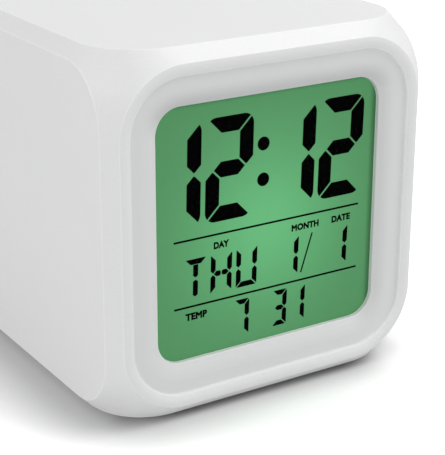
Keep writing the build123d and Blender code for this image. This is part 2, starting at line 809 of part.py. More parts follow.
def battery_door():
    """A flat door with a rounded foot, a pivot at each side of it, and a snap tongue at its top."""
    door = slab(door_outline(door_gap), door_seat_y, back_y)
    foot = block(around(0, 2 * pocket_half), (door_seat_y, back_y), (pocket_bottom_z, pivot_z))
    door -= foot - pivot_rod(door_thickness / 2, pocket_half + overrun)
    door += pivot_rod(pivot_r, pocket_half - door_gap + pivot_reach)
    snap_y, snap_z = snap_place()
    snap_depth = around(snap_y, snap_thickness)
    door += block(around(0, snap_width), snap_depth, (tongue_top_z - door_gap - overrun, snap_z))
    for i in range(grip_count):
        groove_z = tongue_top_z - tongue_rise / 2 - (i - (grip_count - 1) / 2) * grip_pitch
        depth = (back_y - grip_depth, back_y + overrun)
        door -= block(around(0, grip_width), depth, around(groove_z, grip_pitch / 2))
    return door


def case_screws():
    """Four cross-headed screws through the rear cover into the housing's corner bosses."""
    screws = []
    for x, z in case_screw_places():
        screw = rod(x, z, case_screw_head_r, screw_seat_y, screw_seat_y + case_screw_head_height)
        screw = fillet(screw.edges().group_by(Axis.Y)[-1], case_screw_head_height / 4)
        top_y = screw_seat_y + case_screw_head_height
        depth = (top_y - screw_slot_depth, top_y + overrun)
        screw -= block(around(x, screw_slot_width), depth, around(z, case_screw_head_r))
        screw -= block(around(x, case_screw_head_r), depth, around(z, screw_slot_width))
        screws.append(screw + rod(x, z, case_screw_r, screw_seat_y - case_screw_length, screw_seat_y))
    return screws


def cell(index):
    """One AAA cell. Even cells point their raised end to the right, odd ones to the left."""
    side = 1 if index % 2 == 0 else -1
    can_length = cell_length - cell_nub_height
    can = Cylinder(cell_r, can_length, align=(Align.CENTER, Align.CENTER, Align.MIN))
    can = fillet(can.edges(), cell_edge_r)
    nub = Cylinder(cell_nub_r, cell_length, align=(Align.CENTER, Align.CENTER, Align.MIN))
    nub = fillet(nub.edges().group_by(Axis.Z)[-1], cell_nub_height / 4)
    whole = Pos(0, 0, -cell_length) * (can + nub)
    tip = side * (well_half - contact_thickness)
    return Pos(tip, cell_y, cell_zs()[index]) * Rot(0, side * 90, 0) * whole


def contact_plate(side, low_cell, high_cell):
    """A contact against one end of the well that serves one cell or bridges two."""
    zs = cell_zs()
    outer = side * well_half
    across = sorted((outer, outer - side * contact_thickness))
    upright = (zs[low_cell] - contact_size / 2, zs[high_cell] + contact_size / 2)
    return block(across, around(cell_y, contact_size), upright)


def terminal(index):
    """An end contact with a tab that passes through the well's wall to take its lead."""
    plate = contact_plate(-1, index, index)
    reach = (-pocket_half - tab_reach, -well_half)
    return plate + block(reach, around(cell_y, contact_thickness), around(cell_zs()[index], tab_width))


def biarc(start, start_dir, end, end_dir):
    """Two tangent arcs from start to end that keep both directions."""
    chord = end - start
    both = start_dir + end_dir
    across = 2 * (1 - start_dir.dot(end_dir))
    reach = (math.sqrt(chord.dot(both) ** 2 + across * chord.dot(chord)) - chord.dot(both)) / across
    first = start + start_dir * reach
    second = end - end_dir * reach
    joint = (first + second) / 2
    joint_dir = (second - first).normalized()
    return [TangentArc(start, joint, tangent=start_dir), TangentArc(joint, end, tangent=joint_dir)]


def cell_spring():
    """A conical spring of round wire, from its wide base at the origin up the Z axis."""
    rise = spring_length - 2 * (spring_wire_r + spring_seat_gap)
    turn_end = 2 * math.pi * spring_turns
    steps = round(4 * spring_turns)

    def place(turn):
        done = turn / turn_end
        radius = spring_base_r + (spring_tip_r - spring_base_r) * done
        lift = spring_wire_r + spring_seat_gap + rise * done
        return Vector(radius * math.cos(turn), radius * math.sin(turn), lift)

    def heading(turn):
        radius = spring_base_r + (spring_tip_r - spring_base_r) * turn / turn_end
        shrink = (spring_tip_r - spring_base_r) / turn_end
        x = shrink * math.cos(turn) - radius * math.sin(turn)
        y = shrink * math.sin(turn) + radius * math.cos(turn)
        return Vector(x, y, rise / turn_end).normalized()

    turns = [turn_end * i / steps for i in range(steps + 1)]
    arcs = []
    for low, high in zip(turns, turns[1:]):
        arcs += biarc(place(low), heading(low), place(high), heading(high))
    path = Wire([arc.edge() for arc in arcs])
    section = Plane(origin=place(0), z_dir=heading(0)) * Circle(spring_wire_r)
    per_turn = 48
    points = [place(turn_end * i / (per_turn * 3)) for i in range(per_turn * 3 + 1)]
    gaps = [
        (a - b).length - 2 * spring_wire_r
        for i, a in enumerate(points)
        for b in points[i + per_turn // 2 :]
    ]
    print("least gap between the spring's turns:", round(min(gaps), 2), "mm")
    return sweep(section, path=path)


def battery_springs():
    """One spring at the flat end of each cell."""
    spring = cell_spring()
    springs = []
    for index, z in enumerate(cell_zs()):
        side = -1 if index % 2 == 0 else 1
        base = side * (well_half - contact_thickness)
        springs.append(Pos(base, cell_y, z) * Rot(0, -side * 90, 0) * spring)
    return springs


def key_board():
    z = (key_board_bottom_z, key_board_bottom_z + key_board_height)
    board = block(around(0, key_board_width), (key_board_y, key_board_back_y), z)
    for place in key_post_places():
        board -= rod(*place, board_hole_r, key_board_y - overrun, key_board_back_y + overrun)
    return board


def key_post_places():
    rises = (key_post_inset, key_board_height - key_post_inset)
    return [(side * key_post_x, key_board_bottom_z + rise) for side in (-1, 1) for rise in rises]


def key_board_screws():
    screw = small_screw(key_screw_length)
    return [Pos(x, key_board_y, z) * Rot(0, 0, 180) * screw for x, z in key_post_places()]


def tact_switches():
    """The four switch bodies, each with a bore for its plunger."""
    top_y = key_board_back_y + tact_height
    bodies = []
    for x in button_xs:
        body = block(around(x, tact_size), (key_board_back_y, top_y), around(button_z, tact_size))
        sink = plunger_sink + button_travel + plunger_fit
        body -= rod(x, button_z, plunger_r + plunger_fit, top_y - sink, top_y + overrun)
        bodies.append(body)
    return bodies


def plunger_y():
    return key_board_back_y + tact_height + plunger_height


def plunger(x):
    return rod(x, button_z, plunger_r, plunger_y() - plunger_height - plunger_sink, plunger_y())


def button(x):
    """A push button: cap through the cover, flange behind it, and a stem down to its plunger."""
    top_y = back_y - button_crown
    flange_back_y = controls_inner_y - button_gap
    cap = slab(Pos(x, button_z) * SlotOverall(button_width, button_height), flange_back_y, top_y)
    cap = fillet(cap.edges().group_by(Axis.Y)[-1], button_edge_r)
    flange = SlotOverall(button_width + 2 * button_flange, button_height + 2 * button_flange)
    cap += slab(Pos(x, button_z) * flange, flange_back_y - button_flange_thickness, flange_back_y)
    return cap + rod(x, button_z, button_stem_r, plunger_y(), flange_back_y - button_flange_thickness)


def switch_body():
    """The light switch, with a slot along which its knob slides."""
    top_y = key_board_back_y + switch_body_depth
    body = block(
        around(switch_x, switch_body_width), (key_board_back_y, top_y), around(switch_z, switch_body_height)
    )
    slot = knob_stem_width + switch_travel + 2 * knob_gap
    depth = (key_board_back_y + switch_body_depth / 2, top_y + overrun)
    return body - block(around(switch_x, slot), depth, around(switch_z, knob_stem_height + 2 * plunger_fit))


def switch_knob():
    """The knob at the OFF end of its slot, with a stem that reaches into the switch."""
    x = switch_x - switch_travel / 2
    foot_y = key_board_back_y + switch_body_depth / 2 + knob_lift
    head_y = (controls_y + knob_lift, back_y - button_crown)
    knob = block(around(x, knob_width), head_y, around(switch_z, knob_height))
    knob = fillet(knob.edges().group_by(Axis.Y)[-1], button_edge_r)
    for i in range(knob_grip_count):
        groove_x = x + (i - (knob_grip_count - 1) / 2) * 2 * knob_grip_width
        depth = (head_y[1] - knob_grip_width, head_y[1] + overrun)
        knob -= block(around(groove_x, knob_grip_width), depth, around(switch_z, knob_height + overrun))
    stem = (around(x, knob_stem_width), (foot_y, head_y[0]), around(switch_z, knob_stem_height))
    return knob + block(*stem)


def buzzer():
    """A small sounder under the sound holes, with a port in its top."""
    top_y = key_board_back_y + buzzer_height
    z = key_board_bottom_z + buzzer_r + slip_gap
    can = rod(sound_x, z, buzzer_r, key_board_back_y, top_y)
    can = fillet(can.edges().group_by(Axis.Y)[-1], buzzer_port_r / 2)
    return can - rod(sound_x, z, buzzer_port_r, top_y - buzzer_port_depth, top_y + overrun)


def routed(points):
    """A path of straight runs and tangent arcs through points, each arc as large as its runs allow."""
    places = [Vector(*point) for point in points]
    radii = []
    for before, at, after in zip(places, places[1:], places[2:]):
        turn = math.radians((at - before).get_angle(after - at))
        shorter = min((at - before).length, (after - at).length)
        radii.append(arc_share * shorter / math.tan(turn / 2))
    print("arc radii:", [round(radius, 1) for radius in radii])
    return FilletPolyline(*places, radius=radii)


def lead(points):
    path = routed(points)
    section = Plane(origin=path @ 0, z_dir=path % 0) * Circle(lead_r)
    whole = sweep(section, path=path)
    plain_volume = math.pi * lead_r**2 * path.length
    print("lead volume over section times length:", round(whole.volume / plain_volume, 3))
    return whole


def ribbon():
    """The flat cable from the main board's back to the key board's front, with a slack bow."""
    span = key_board_y - board_back_y
    foot_z = key_board_bottom_z + ribbon_width / 2
    route_shares = ((0, 0), (0.16, -0.01), (0.34, -0.1), (0.52, -0.155), (0.7, -0.1), (0.86, 0), (1, 0.012))
    points = [(ribbon_x, board_back_y + y * span, foot_z + z * span) for y, z in route_shares]
    path = routed(points)
    start = Plane(origin=path @ 0, x_dir=(1, 0, 0), z_dir=path % 0)
    band = sweep(start * Rectangle(ribbon_width, ribbon_thickness), path=path)
    room = block(around(ribbon_x, cube_size), (board_back_y, key_board_y), (0, cube_size))
    return band & room


def terminal_end(index):
    return -pocket_half - tab_reach, cell_y, cell_zs()[index]


def lead_route(start, start_shares, end, end_shares):
    """A lead's points, given from its two ends in shares of lead_step."""
    points = [Vector(*start) + Vector(*share) * lead_step for share in start_shares]
    return points + [Vector(*end) + Vector(*share) * lead_step for share in end_shares]


def black_lead():
    """From the lowest cell's terminal, up beside the well, to the key board."""
    leave = ((0, 0, 0), (-0.44, 0, 0), (-0.62, -0.4, 0.7), (-0.52, -0.86, 1.8), (-0.58, -1.16, 2.8))
    end = (black_lead_inset - key_board_width / 2, key_board_y, key_board_bottom_z + key_board_height / 4)
    arrive = ((-1.26, -0.945, -1), (-0.74, -1.045, -0.32), (0, -0.805, 0), (0, 0, 0))
    return lead(lead_route(terminal_end(0), leave, end, arrive))


def red_lead():
    """From the highest cell's terminal to the key board, beside the black lead."""
    leave = ((0, 0, 0), (-0.4, 0, 0), (-0.56, -0.46, 0.4), (-0.3, -0.88, 1.06))
    end = (red_lead_inset - key_board_width / 2, key_board_y, key_board_bottom_z + key_board_height / 2)
    arrive = ((-0.74, -0.745, -0.35), (0, -0.745, 0), (0, 0, 0))
    return lead(lead_route(terminal_end(-1), leave, end, arrive))


os.makedirs("parts", exist_ok=True)
pieces = {
    "housing": housing(),
    "front_glass": front_glass(),
    "lcd_segments": segments(),
    "rear_glass": rear_glass(),
    "light_guide": light_guide(),
    "reflector": reflector(),
    "edge_lights": edge_lights(),
    "contact_strips": contact_strips(),
    "display_frame": display_frame(),
    "main_board": main_board(),
    "board_screws": board_screws(),
    "case_leds": case_leds(),
    "chip_drop": chip_drop(),
    "crystal": crystal(),
    "capacitor": capacitor(),
    "tap_sensor": tap_sensor(),
    "thermistor": thermistor(),
    "rear_cover": rear_cover(),
    "case_screws": case_screws(),
    "battery_door": battery_door(),
    "contact_bridge_left": contact_plate(-1, 1, 2),
    "contact_bridge_low": contact_plate(1, 0, 1),
    "contact_bridge_high": contact_plate(1, 2, 3),
    "terminal_negative": terminal(0),
    "terminal_positive": terminal(3),
    "battery_springs": battery_springs(),
    "key_board": key_board(),
    "key_board_screws": key_board_screws(),
    "tact_switches": tact_switches(),
    "switch_body": switch_body(),
    "light_switch_knob": switch_knob(),
    "buzzer": buzzer(),
    "ribbon_cable": ribbon(),
    "black_lead": black_lead(),
    "red_lead": red_lead(),
}
for index in range(cell_count):
    pieces[f"aaa_cell_{index + 1}"] = cell(index)
for name, x in zip(("set", "mode", "down", "up"), button_xs):
    pieces[f"{name}_button"] = button(x)
    pieces[f"{name}_plunger"] = plunger(x)

for node, piece in pieces.items():
    shape = Compound(children=list(piece)) if isinstance(piece, list) else piece
    export_step(shape, f"parts/{node}.step")
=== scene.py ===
import math

import bpy
from mathutils import Euler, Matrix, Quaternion, Vector


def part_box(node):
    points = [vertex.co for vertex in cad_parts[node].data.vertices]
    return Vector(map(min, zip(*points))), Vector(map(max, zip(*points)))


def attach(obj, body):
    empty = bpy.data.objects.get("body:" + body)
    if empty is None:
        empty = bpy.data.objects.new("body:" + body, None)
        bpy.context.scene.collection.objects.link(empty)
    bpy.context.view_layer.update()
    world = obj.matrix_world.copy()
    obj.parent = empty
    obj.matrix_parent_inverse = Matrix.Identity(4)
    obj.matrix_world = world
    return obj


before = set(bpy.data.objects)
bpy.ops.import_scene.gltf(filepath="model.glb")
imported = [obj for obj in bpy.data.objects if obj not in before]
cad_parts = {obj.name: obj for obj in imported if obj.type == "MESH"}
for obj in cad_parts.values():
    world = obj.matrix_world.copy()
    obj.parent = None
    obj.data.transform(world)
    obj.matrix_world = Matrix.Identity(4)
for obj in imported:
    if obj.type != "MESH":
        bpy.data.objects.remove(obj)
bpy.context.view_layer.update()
scene = bpy.context.scene

# The camera stands in front of the clock, to its left and a little above it, and looks down on the
# display with a long lens.
camera_place = (-0.16115, -0.27160, 0.14299)
camera_yaw = 32.5
camera_drop = 20.29
camera_roll = 0.18
camera_lens = 112.15
camera_sensor = 36
camera = bpy.data.objects.new("camera", bpy.data.cameras.new("camera"))
camera.data.lens = camera_lens
camera.data.sensor_width = camera_sensor
camera.location = camera_place
aim = Euler((math.radians(90 - camera_drop), 0, math.radians(-camera_yaw))).to_quaternion()
camera.rotation_mode = "QUATERNION"
camera.rotation_quaternion = aim @ Quaternion((0, 0, 1), math.radians(camera_roll))
scene.collection.objects.link(camera)
scene.camera = camera

# The table: a broad white panel with a matt face that glows a little, and so lights the clock's
# lower edges. As the camera sees it, the table is painted brighter further out, and a painted shadow
# darkens the narrow gap under the clock's lower edges: that painted shadow is wider and softer on the
# left, and fades out on the right.
table_reach = 3.0
table_roughness = 0.9
table_bounce = 0.65
table_glow = 0.10
far_painted_glow = 0.50
far_start = 0.048
far_end = 0.077
shadow_paint_reach = {"start": -0.041, "end": 0.005, "at_start": 0.0165, "at_end": 0.010}
shadow_paint_least = {"start": -0.041, "end": -0.028, "at_start": 0.60, "at_end": 0.0}
shadow_paint_depth = {"start": 0.020, "end": 0.034, "at_start": 1.0, "at_end": 0.22}


def new_material(name):
    """A node material, its tree and its Principled shader."""
    material = bpy.data.materials.new(name)
    material.use_nodes = True
    tree = material.node_tree
    return material, tree, tree.nodes["Principled BSDF"]


def set_inputs(node, **values):
    """Sets plain values on a node's sockets. An underscore stands for a space in a socket's name."""
    for label, value in values.items():
        node.inputs[label.replace("_", " ")].default_value = value


def object_place(tree):
    """The place of a point in its object's own coordinates, in metres."""
    return tree.nodes.new("ShaderNodeTexCoord").outputs["Object"]


def split_axes(tree, vector):
    """The sockets X, Y and Z of a vector."""
    node = tree.nodes.new("ShaderNodeSeparateXYZ")
    tree.links.new(vector, node.inputs["Vector"])
    return node.outputs


def math_node(tree, operation, first, second):
    """A Math node whose two inputs are sockets or plain numbers."""
    node = tree.nodes.new("ShaderNodeMath")
    node.operation = operation
    for socket, value in zip(node.inputs, (first, second)):
        if isinstance(value, (int, float)):
            socket.default_value = value
        else:
            tree.links.new(value, socket)
    return node.outputs[0]


def map_range(tree, value, start, end, at_start, at_end, kind="SMOOTHSTEP"):
    """A value that goes from at_start to at_end while the given one goes from start to end."""
    node = tree.nodes.new("ShaderNodeMapRange")
    node.interpolation_type = kind
    set_inputs(node, From_Min=start, From_Max=end, To_Min=at_start, To_Max=at_end)
    tree.links.new(value, node.inputs["Value"])
    return node.outputs["Result"]


table_mesh = bpy.data.meshes.new("table")
corners = [(x * table_reach, y * table_reach, 0) for x, y in ((-1, -1), (1, -1), (1, 1), (-1, 1))]
table_mesh.from_pydata(corners, [], [(0, 1, 2, 3)])
table = bpy.data.objects.new("table", table_mesh)
scene.collection.objects.link(table)
table_paint, tree, shader = new_material("table_paint")
place = object_place(tree)
across = split_axes(tree, place)["X"]
# Painted shadow: the camera sees the table darker where it lies hemmed in under the clock.
near = tree.nodes.new("ShaderNodeAmbientOcclusion")
tree.links.new(map_range(tree, across, **shadow_paint_reach), near.inputs["Distance"])
painted_sky_share = math_node(tree, "POWER", near.outputs["AO"], map_range(tree, across, **shadow_paint_depth))
painted_shadow_share = math_node(tree, "MAXIMUM", painted_sky_share, map_range(tree, across, **shadow_paint_least))
# Painted light: the camera sees the table glow more the further it lies from the clock.
from_clock = tree.nodes.new("ShaderNodeVectorMath")
from_clock.operation = "LENGTH"
tree.links.new(place, from_clock.inputs[0])
painted_far_light = map_range(tree, from_clock.outputs["Value"], far_start, far_end, table_glow, far_painted_glow)
seen = tree.nodes.new("ShaderNodeLightPath").outputs["Is Camera Ray"]
for socket, hidden, shown in (
    ("Base Color", table_bounce, painted_shadow_share),
    ("Emission Strength", table_glow, math_node(tree, "MULTIPLY", painted_shadow_share, painted_far_light)),
):
    pick = tree.nodes.new("ShaderNodeMix")
    pick.inputs["A"].default_value = hidden
    tree.links.new(seen, pick.inputs["Factor"])
    tree.links.new(shown, pick.inputs["B"])
    tree.links.new(pick.outputs["Result"], shader.inputs[socket])
set_inputs(shader, Emission_Color=(1, 1, 1, 1), Roughness=table_roughness, Specular_IOR_Level=0)
table_mesh.materials.append(table_paint)

# The tent: white cloth all round, with two lamps over the clock, the second further to the right, so
# that a short soft shadow falls to the left. One high at the front gives the upper edge its shine, a
# low one fills the left side and a weak one in front fills the rim.
tent_level = 0.55
lamps = {
    "over": {"place": (0.05, 0.02, 0.72), "energy": 0.50, "size": 0.30},
    "right": {"place": (0.35, 0.0, 0.62), "energy": 0.68, "size": 0.30},
    "shine": {"place": (0.40, -0.28, 0.63), "energy": 1.42, "size": 0.35},
    "side": {"place": (-0.60, -0.10, 0.14), "energy": 0.80, "size": 0.30},
    "front": {"place": (0.50, -0.90, 0.30), "energy": 0.88, "size": 0.30},
}
scene.view_settings.view_transform = "Standard"
tent = bpy.data.worlds.new("tent")
tent.use_nodes = True
scene.world = tent
tree = tent.node_tree
cloth = tree.nodes["Background"]
seen = tree.nodes.new("ShaderNodeLightPath").outputs["Is Camera Ray"]
level = map_range(tree, seen, 0, 1, tent_level, 1, kind="LINEAR")
tree.links.new(level, cloth.inputs["Strength"])
set_inputs(cloth, Color=(1, 1, 1, 1))

for label, lamp in lamps.items():
    light = bpy.data.objects.new(f"{label}_lamp", bpy.data.lights.new(f"{label}_lamp", "AREA"))
    light.data.size = lamp["size"]
    light.data.energy = lamp["energy"]
    light.location = lamp["place"]
    light.rotation_euler = Vector(lamp["place"]).to_track_quat("Z", "Y").to_euler()
    scene.collection.objects.link(light)

# The case: a front moulding with the recess and four sides, and a rear cover, both injection moulded
# in milky plastic with a satin skin. The recess is painted a greyer tone for the shade in it, and its
# slope is painted darker still near the window's top and right, as painted shade. A painted highlight
# pales the creases.
case_colour = (0.895, 0.895, 0.90, 1)
case_drift = (0.87, 0.87, 0.875, 1)
clock_middle = 0.040
recess_shade_colour = (0.775, 0.775, 0.78, 1)
recess_front = {"start": -0.0394, "end": -0.0388, "at_start": 0, "at_end": 1}
recess_back = -0.0365
recess_half = 0.0347
recess_corner = 0.0125
slope_shade_colour = (0.64, 0.64, 0.645, 1)
slope_ring = {"start": 0.0322, "end": 0.0283, "at_start": 0, "at_end": 1}
slope_top = {"start": 0.0220, "end": 0.0275, "at_start": 0, "at_end": 1}
slope_right = {"start": 0.0220, "end": 0.0275, "at_start": 0, "at_end": 0.5}
squareness = 10
crease_reach = 0.0005
crease_samples = 8
crease_highlight_tone = {"start": 0.998, "end": 0.96, "at_start": 0, "at_end": 0.6}
speck_darkness = 0.08


def make_group(name, inputs, outputs):
    """An empty shader group with named sockets."""
    group = bpy.data.node_groups.new(name, "ShaderNodeTree")
    for label, kind, value in inputs:
        socket = group.interface.new_socket(label, in_out="INPUT", socket_type=kind)
        socket.default_value = value
    for label, kind in outputs:
        group.interface.new_socket(label, in_out="OUTPUT", socket_type=kind)
    return group, group.nodes.new("NodeGroupInput"), group.nodes.new("NodeGroupOutput")


def noise_node(tree, place, scale, detail=2.0):
    """Noise from 0 to 1, whose scale is a socket or a plain number."""
    node = tree.nodes.new("ShaderNodeTexNoise")
    set_inputs(node, Detail=detail)
    tree.links.new(place, node.inputs["Vector"])
    if isinstance(scale, (int, float)):
        set_inputs(node, Scale=scale)
    else:
        tree.links.new(scale, node.inputs["Scale"])
    return node.outputs["Fac"]


def mix_colours(tree, factor, first, second):
    """A Mix node for colours, whose inputs are sockets or plain values."""
    node = tree.nodes.new("ShaderNodeMix")
    node.data_type = "RGBA"
    for socket, value in ((node.inputs[0], factor), (node.inputs[6], first), (node.inputs[7], second)):
        if isinstance(value, (int, float, tuple)):
            socket.default_value = value
        else:
            tree.links.new(value, socket)
    return node.outputs[2]


# Grain: the fine texture that a mould leaves, with a slow drift of tone over the whole piece.
grain_group, grain_in, grain_out = make_group(
    "moulding_grain",
    [
        ("Colour", "NodeSocketColor", (0.8, 0.8, 0.8, 1)),
        ("Drift Colour", "NodeSocketColor", (0.7, 0.7, 0.7, 1)),
        ("Grains per Metre", "NodeSocketFloat", 3000.0),
        ("Drifts per Metre", "NodeSocketFloat", 60.0),
        ("Roughness", "NodeSocketFloat", 0.5),
        ("Roughness Spread", "NodeSocketFloat", 0.1),
    ],
    [("Colour", "NodeSocketColor"), ("Roughness", "NodeSocketFloat"), ("Height", "NodeSocketFloat")],
)
place = object_place(grain_group)
fine = noise_node(grain_group, place, grain_in.outputs["Grains per Metre"], detail=3.0)
slow = noise_node(grain_group, place, grain_in.outputs["Drifts per Metre"])
drifted = mix_colours(grain_group, slow, grain_in.outputs["Colour"], grain_in.outputs["Drift Colour"])
centred = math_node(grain_group, "SUBTRACT", fine, 0.5)
spread = math_node(grain_group, "MULTIPLY", centred, grain_in.outputs["Roughness Spread"])
rough = math_node(grain_group, "ADD", spread, grain_in.outputs["Roughness"])
speck = math_node(grain_group, "MULTIPLY", fine, speck_darkness)
specked = mix_colours(grain_group, speck, drifted, (0, 0, 0, 1))
grain_group.links.new(specked, grain_out.inputs["Colour"])
grain_group.links.new(rough, grain_out.inputs["Roughness"])
grain_group.links.new(fine, grain_out.inputs["Height"])


def add_relief(tree, height, depth):
    """Gives a material's shader a bump, from a height of 0 to 1 times a depth in metres."""
    bump = tree.nodes.new("ShaderNodeBump")
    set_inputs(bump, Distance=depth)
    tree.links.new(height, bump.inputs["Height"])
    tree.links.new(bump.outputs["Normal"], tree.nodes["Principled BSDF"].inputs["Normal"])


def moulded(name, colour, drift, grains, roughness, depth, drifts=60, roughness_spread=0.1, **sockets):
    """A material whose colour, roughness and relief come from the grain group.

    depth is the relief's height in metres; sockets are further plain values of the shader.
    """
    material, tree, shader = new_material(name)
    grain = tree.nodes.new("ShaderNodeGroup")
    grain.name = "grain"
    grain.node_tree = grain_group
    set_inputs(grain, Colour=colour, Drift_Colour=drift)
    set_inputs(grain, Grains_per_Metre=grains, Drifts_per_Metre=drifts)
    set_inputs(grain, Roughness=roughness, Roughness_Spread=roughness_spread)
    tree.links.new(grain.outputs["Colour"], shader.inputs["Base Color"])
    tree.links.new(grain.outputs["Roughness"], shader.inputs["Roughness"])
    add_relief(tree, grain.outputs["Height"], depth)
    set_inputs(shader, **sockets)
    return material


def dress(material, *names):
    """Gives CAD nodes a finish in place of their plain one."""
    for name in names:
        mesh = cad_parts[name].data
        mesh.materials.clear()
        mesh.materials.append(material)


case_plastic = moulded(
    "case_plastic", case_colour, case_drift,
    grains=2600, roughness=0.42, depth=0.00002, drifts=45, Specular_IOR_Level=0.4,
)
tree = case_plastic.node_tree
place = split_axes(tree, object_place(tree))
height = math_node(tree, "SUBTRACT", place["Z"], clock_middle)
offsets = [math_node(tree, "ABSOLUTE", part, 0) for part in (place["X"], height)]
flat = recess_half - recess_corner
past_flat = [math_node(tree, "SUBTRACT", part, flat) for part in offsets]
squares = [math_node(tree, "POWER", math_node(tree, "MAXIMUM", part, 0), 2) for part in past_flat]
inside = math_node(tree, "LESS_THAN", math_node(tree, "ADD", *squares), recess_corner**2)
before = math_node(tree, "LESS_THAN", place["Y"], recess_back)
in_recess = math_node(tree, "MULTIPLY", inside, before)
mask = math_node(tree, "MULTIPLY", in_recess, map_range(tree, place["Y"], **recess_front))
powers = [math_node(tree, "POWER", part, squareness) for part in offsets]
from_middle = math_node(tree, "POWER", math_node(tree, "ADD", *powers), 1 / squareness)
ring = map_range(tree, from_middle, **slope_ring)
top = map_range(tree, height, **slope_top)
right = map_range(tree, place["X"], **slope_right)
slope_shade_mask = math_node(tree, "MULTIPLY", ring, math_node(tree, "MAXIMUM", top, right))
# Painted shade: the recess is painted greyer, and its slope darker still near the window's top and
# right.
painted_recess_shade = mix_colours(tree, slope_shade_mask, recess_shade_colour, slope_shade_colour)
recess_shaded = mix_colours(tree, mask, tree.nodes["grain"].outputs["Colour"], painted_recess_shade)
# Painted highlight: the creases, found by the rounded normal, are painted paler.
rounded = tree.nodes.new("ShaderNodeBevel")
rounded.samples = crease_samples
set_inputs(rounded, Radius=crease_reach)
turned = tree.nodes.new("ShaderNodeVectorMath")
turned.operation = "DOT_PRODUCT"
tree.links.new(rounded.outputs["Normal"], turned.inputs[0])
tree.links.new(tree.nodes.new("ShaderNodeNewGeometry").outputs["Normal"], turned.inputs[1])
painted_crease_light = map_range(tree, turned.outputs["Value"], kind="LINEAR", **crease_highlight_tone)
crease_highlighted = mix_colours(tree, painted_crease_light, recess_shaded, (1, 1, 1, 1))
tree.links.new(crease_highlighted, tree.nodes["Principled BSDF"].inputs["Base Color"])
dress(case_plastic, "housing", "rear_cover")

# The front glass: a thin clear pane, cut from sheet, clean and almost free of colour. The display's
# frame presses it against the window from behind.
pane, tree, shader = new_material("clear_pane")
set_inputs(shader, Base_Color=(0.02, 0.03, 0.025, 1), Alpha=0.02)
set_inputs(shader, Roughness=0.06, Specular_IOR_Level=0.05)
dress(pane, "front_glass")

# The segments and the small printed words, black against the lit ground. They lie between the two
# panes, and the words name the rows of the display. Each word's box is given by its left, right,
# low and high edge, from the middle of the clock.
word_thickness = 0.00004
word_stroke = 0.055
word_spacing = 1.05
words = {
    "day": (-0.01338, -0.00953, -0.00469, -0.00313),
    "month": (0.00658, 0.01384, -0.00469, -0.00313),
    "date": (0.01733, 0.02242, -0.00469, -0.00313),
    "temp": (-0.02040, -0.01503, -0.01960, -0.01796),
}
segment_black = moulded(
    "segment_black", (0.0006, 0.0006, 0.0006, 1), (0.0012, 0.0014, 0.0012, 1),
    grains=900, roughness=0.6, depth=0.0, Specular_IOR_Level=0.0,
)
dress(segment_black, "lcd_segments")
segment_low, segment_high = (Vector(corner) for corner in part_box("lcd_segments"))


def flat_word(name, text, left, right, low, high, y):
    """Small printed capitals that fill a box on the display, as thin faces with a little thickness."""
    curve = bpy.data.curves.new(name, "FONT")
    curve.body = text
    curve.size = high - low
    curve.bevel_depth = (high - low) * word_stroke
    curve.bevel_resolution = 0
    curve.space_character = word_spacing
    shape = bpy.data.objects.new(name, curve)
    scene.collection.objects.link(shape)
    bpy.context.view_layer.update()
    mesh = bpy.data.meshes.new_from_object(shape)
    bpy.data.objects.remove(shape)
    xs = [vertex.co.x for vertex in mesh.vertices]
    ys = [vertex.co.y for vertex in mesh.vertices]
    for vertex in mesh.vertices:
        across = (vertex.co.x - min(xs)) / (max(xs) - min(xs))
        up = (vertex.co.y - min(ys)) / (max(ys) - min(ys))
        vertex.co = (left + across * (right - left), y, clock_middle + low + up * (high - low))
    piece = bpy.data.objects.new(name, mesh)
    scene.collection.objects.link(piece)
    solid = piece.modifiers.new("thickness", "SOLIDIFY")
    solid.thickness = word_thickness
    solid.offset = 0
    return piece


for label, (left, right, low, high) in words.items():
    depth = (segment_low.y + segment_high.y) / 2
    word = flat_word(f"word_{label}", label.upper(), left, right, low, high, depth)
    word.data.materials.append(segment_black)
    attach(word, "case")

# The rear glass: the lit green ground of the display, a pane of glass. The light comes in at the
# sides and gathers in the lower middle, so it falls off to the corners. A narrow rim at the right and
# the top is painted darker, as painted shade from the case's wall.
glow_middle = (0.0, 0.0, 0.0385)
glow_reach = 0.024
glow_fall = -1.6
glow_inner = (0.150, 0.515, 0.215, 1)
glow_outer = (0.088, 0.268, 0.112, 1)
glow_strength = 0.9
glow_speckles = 900
speckle_share = 0.05
rim_width = 0.0016
rim_shade_share = 0.52
glass_right = 0.0283
glass_top = 0.0682
lit_green, tree, shader = new_material("lit_green")
place = object_place(tree)
gap = tree.nodes.new("ShaderNodeVectorMath")
gap.operation = "SUBTRACT"
gap.inputs[1].default_value = glow_middle
tree.links.new(place, gap.inputs[0])
aside = split_axes(tree, gap.outputs["Vector"])
steps = [math_node(tree, "DIVIDE", aside[axis], glow_reach) for axis in ("X", "Z")]
far = math_node(tree, "ADD", *(math_node(tree, "POWER", step, 2) for step in steps))
fall = math_node(tree, "POWER", math.e, math_node(tree, "MULTIPLY", far, glow_fall))
speckle = noise_node(tree, place, glow_speckles)
unevenness = math_node(tree, "MULTIPLY", math_node(tree, "SUBTRACT", speckle, 0.5), speckle_share)
mixed = math_node(tree, "ADD", fall, unevenness)
glow = mix_colours(tree, mixed, glow_outer, glow_inner)
lit = split_axes(tree, place)
# Painted shade along the glass's right and top rims.
painted_rim_shades = [
    map_range(tree, lit[axis], edge, edge - rim_width, rim_shade_share, 1)
    for axis, edge in (("X", glass_right), ("Z", glass_top))
]
shaded = mix_colours(tree, math_node(tree, "MULTIPLY", *painted_rim_shades), (0, 0, 0, 1), glow)
tree.links.new(shaded, shader.inputs["Emission Color"])
set_inputs(shader, Emission_Strength=glow_strength, Base_Color=(0.02, 0.06, 0.03, 1))
set_inputs(shader, Roughness=0.5, Specular_IOR_Level=0.0)
dress(lit_green, "rear_glass")

